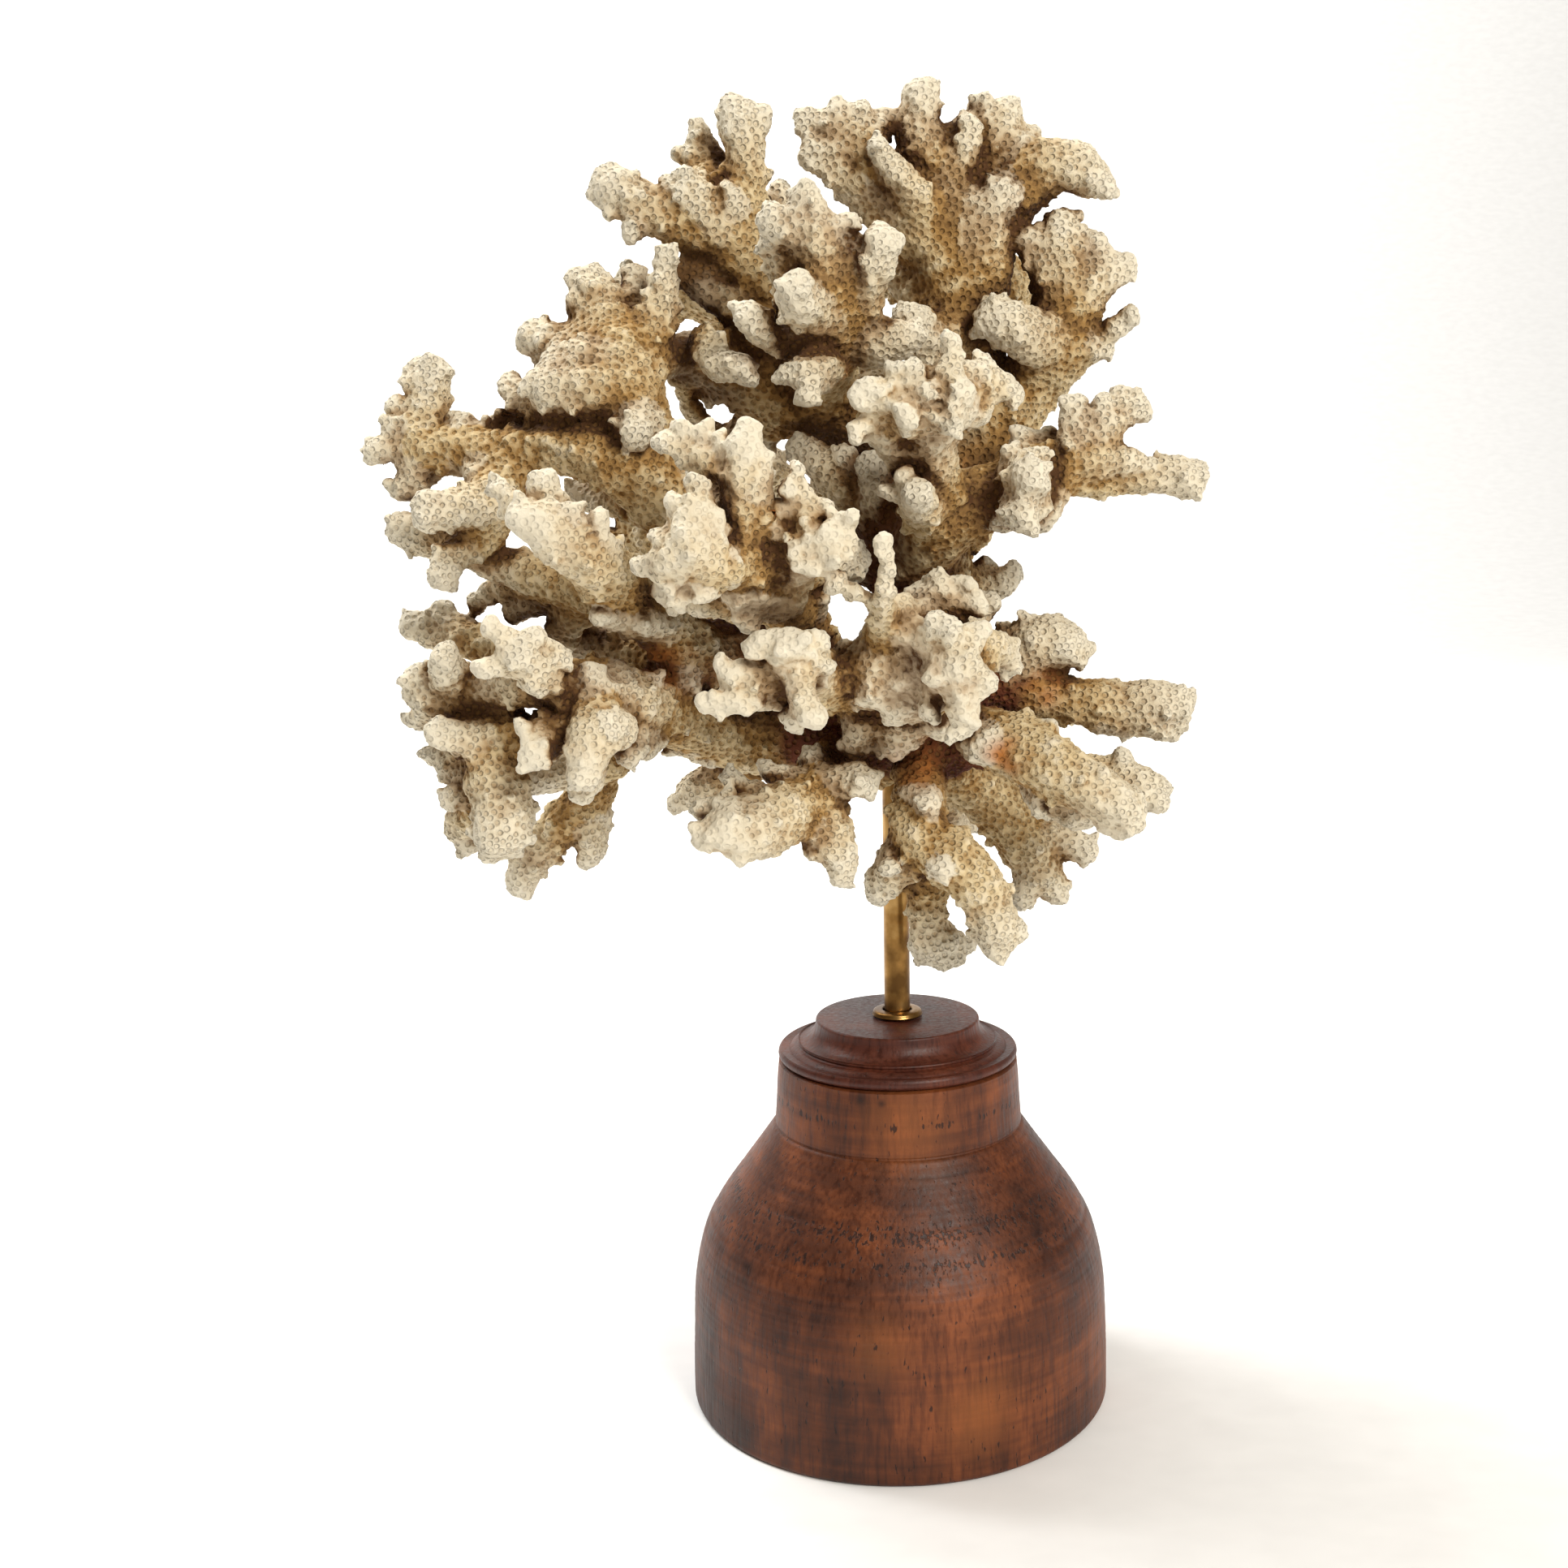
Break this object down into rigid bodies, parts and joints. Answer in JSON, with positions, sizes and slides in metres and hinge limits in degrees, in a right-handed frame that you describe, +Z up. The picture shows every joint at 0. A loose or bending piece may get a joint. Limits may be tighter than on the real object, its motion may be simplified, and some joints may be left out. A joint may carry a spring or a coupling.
{
  "type": "branching coral on a stand",
  "caption": "Pale branching coral skeleton with blunt knobby fingers, held by a straight brass rod above a turned wooden base with a stepped cap.",
  "frame": {"origin": "centre of the wooden base's flat underside", "axes": "+Z up along the rod, towards the coral's crown; the pictured front faces -Y and its right side +X"},
  "size_m": [0.1526, 0.1128, 0.2508],
  "materials": {
    "coral": "matte, porous lime skeleton, cream at the tips and brown in the hollows",
    "wood_body": "turned, worn, low satin sheen",
    "wood_cap": "turned, smoothed and waxed",
    "brass": "aged, rubbed satin"
  },
  "bodies": {
    "root": {"coral_stem": "coral", "crown_left_bough": "coral", "crown_front_bough": "coral", "crown_right_bough": "coral", "upper_right_bough": "coral", "front_right_bough": "coral", "right_arm": "coral", "long_right_finger": "coral", "lower_right_front_bough": "coral", "lower_right_bough": "coral", "hanging_bough": "coral", "front_centre_bough": "coral", "star_bough": "coral", "lower_front_bough": "coral", "lower_left_bough": "coral", "far_lower_left_bough": "coral", "left_front_bough": "coral", "far_left_bough": "coral", "upper_left_bough": "coral", "front_left_bough": "coral", "front_middle_bough": "coral", "back_lower_left_bough": "coral", "back_left_bough": "coral", "back_upper_left_bough": "coral", "back_upper_right_bough": "coral", "back_centre_bough": "coral", "back_right_bough": "coral", "back_lower_right_bough": "coral", "back_hanging_bough": "coral", "wood_base": "wood_body", "wood_cap": "wood_cap", "brass_flange": "brass", "brass_rod": "brass"}
  },
  "joints": []
}
